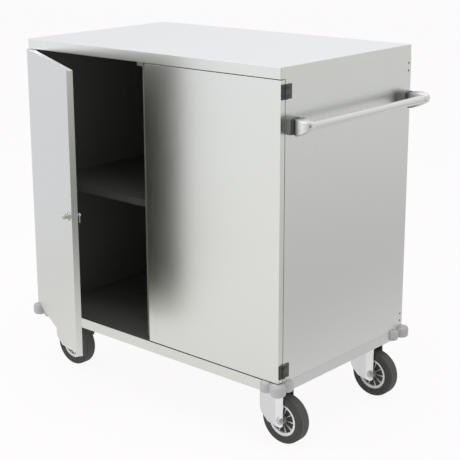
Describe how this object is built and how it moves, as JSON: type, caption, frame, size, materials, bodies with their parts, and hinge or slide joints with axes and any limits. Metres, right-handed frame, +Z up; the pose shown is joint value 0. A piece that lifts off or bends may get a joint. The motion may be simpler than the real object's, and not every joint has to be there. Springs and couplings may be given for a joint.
{
  "type": "enclosed meal tray cart",
  "caption": "Closed stainless steel tray trolley: box cabinet with wing doors and a middle shelf, side push handle, corner bumpers and swivel casters, some with brake pedals.",
  "frame": {"origin": "on the floor, under the centre of the cabinet's footprint (the worktop's outline)", "axes": "+X to the right along the front, towards the push handle; -Y out of the door side; +Z up from the floor to the worktop"},
  "size_m": [1.2285, 0.9643, 1.2035],
  "materials": {
    "brushed_stainless": "satin brushed, grain across the panels",
    "zinc_plated_steel": "bright zinc plating",
    "black_plastic": "matt moulded",
    "grey_plastic": "fine-grained moulded",
    "grey_tyre_rubber": "matt, slightly dusty",
    "cream_plastic": "smooth moulded",
    "dark_disc_plastic": "matt moulded"
  },
  "bodies": {
    "cabinet": {"worktop": "brushed_stainless", "left_side_panel": "brushed_stainless", "right_side_panel": "brushed_stainless", "rear_panel": "brushed_stainless", "base_tray": "brushed_stainless", "base_channels": "brushed_stainless", "middle_shelf": "brushed_stainless", "shelf_angles": "brushed_stainless", "door_catches": "zinc_plated_steel", "fixed_hinge_leaves": "black_plastic", "hinge_pins": "zinc_plated_steel", "handle_bar": "brushed_stainless", "front_handle_bracket": "grey_plastic", "rear_handle_bracket": "grey_plastic", "handle_blocks": "grey_plastic", "handle_spacers": "black_plastic", "bumper_fl": "grey_plastic", "bumper_fr": "grey_plastic", "bumper_rl": "grey_plastic", "bumper_rr": "grey_plastic", "caster_plate_fl": "zinc_plated_steel", "caster_plate_fr": "zinc_plated_steel", "caster_plate_rl": "zinc_plated_steel", "caster_plate_rr": "zinc_plated_steel"},
    "left_door": {"left_door": "brushed_stainless", "left_door_liner": "brushed_stainless", "left_door_hinge_leaves": "black_plastic", "lock_barrel": "zinc_plated_steel"},
    "lock": {"lock_knob": "zinc_plated_steel", "lock_cam": "zinc_plated_steel"},
    "right_door": {"right_door": "brushed_stainless", "right_door_liner": "brushed_stainless", "right_door_hinge_leaves": "black_plastic", "door_stop_strip": "brushed_stainless", "lock_keeper": "zinc_plated_steel"},
    "caster_fl": {"fork_fl": "zinc_plated_steel", "axle_fl": "zinc_plated_steel"},
    "wheel_fl": {"tyre_fl": "grey_tyre_rubber", "rim_fl": "cream_plastic", "wheel_discs_fl": "dark_disc_plastic"},
    "pedal_fl": {"brake_pedal_fl": "grey_plastic"},
    "caster_fr": {"fork_fr": "zinc_plated_steel", "axle_fr": "zinc_plated_steel"},
    "wheel_fr": {"tyre_fr": "grey_tyre_rubber", "rim_fr": "cream_plastic", "wheel_discs_fr": "dark_disc_plastic"},
    "caster_rl": {"fork_rl": "zinc_plated_steel", "axle_rl": "zinc_plated_steel"},
    "wheel_rl": {"tyre_rl": "grey_tyre_rubber", "rim_rl": "cream_plastic", "wheel_discs_rl": "dark_disc_plastic"},
    "pedal_rl": {"brake_pedal_rl": "grey_plastic"},
    "caster_rr": {"fork_rr": "zinc_plated_steel", "axle_rr": "zinc_plated_steel"},
    "wheel_rr": {"tyre_rr": "grey_tyre_rubber", "rim_rr": "cream_plastic", "wheel_discs_rr": "dark_disc_plastic"}
  },
  "joints": [
    {"name": "left_door_hinge", "type": "hinge", "parent": "cabinet", "child": "left_door", "pos_m": [-0.564, -0.31625, 0.701], "axis": [0, 0, 1], "range_deg": [-152.7, 27.3]},
    {"name": "right_door_hinge", "type": "hinge", "parent": "cabinet", "child": "right_door", "pos_m": [0.564, -0.31625, 0.701], "axis": [0, 0, 1], "range_deg": [0, 110]},
    {"name": "lock_turn", "type": "hinge", "parent": "left_door", "child": "lock", "pos_m": [-0.09834, -0.58051, 0.699], "axis": [-0.4586, -0.8886, 0], "range_deg": [0, 90]},
    {"name": "front_left_swivel", "type": "hinge", "parent": "cabinet", "child": "caster_fl", "pos_m": [-0.493, -0.2465, 0.18], "axis": [0, 0, 1], "continuous": true},
    {"name": "front_left_wheel", "type": "hinge", "parent": "caster_fl", "child": "wheel_fl", "pos_m": [-0.467, -0.2465, 0.08], "axis": [0, 1, 0], "continuous": true},
    {"name": "front_left_brake", "type": "hinge", "parent": "caster_fl", "child": "pedal_fl", "pos_m": [-0.473, -0.2465, 0.15], "axis": [0, 1, 0], "range_deg": [0, 8]},
    {"name": "front_right_swivel", "type": "hinge", "parent": "cabinet", "child": "caster_fr", "pos_m": [0.493, -0.2465, 0.18], "axis": [0, 0, 1], "continuous": true},
    {"name": "front_right_wheel", "type": "hinge", "parent": "caster_fr", "child": "wheel_fr", "pos_m": [0.519, -0.2465, 0.08], "axis": [0, 1, 0], "continuous": true},
    {"name": "rear_left_swivel", "type": "hinge", "parent": "cabinet", "child": "caster_rl", "pos_m": [-0.493, 0.2465, 0.18], "axis": [0, 0, 1], "continuous": true},
    {"name": "rear_left_wheel", "type": "hinge", "parent": "caster_rl", "child": "wheel_rl", "pos_m": [-0.467, 0.2465, 0.08], "axis": [0, 1, 0], "continuous": true},
    {"name": "rear_left_brake", "type": "hinge", "parent": "caster_rl", "child": "pedal_rl", "pos_m": [-0.473, 0.2465, 0.15], "axis": [0, 1, 0], "range_deg": [0, 8]},
    {"name": "rear_right_swivel", "type": "hinge", "parent": "cabinet", "child": "caster_rr", "pos_m": [0.493, 0.2465, 0.18], "axis": [0, 0, 1], "continuous": true},
    {"name": "rear_right_wheel", "type": "hinge", "parent": "caster_rr", "child": "wheel_rr", "pos_m": [0.519, 0.2465, 0.08], "axis": [0, 1, 0], "continuous": true}
  ]
}
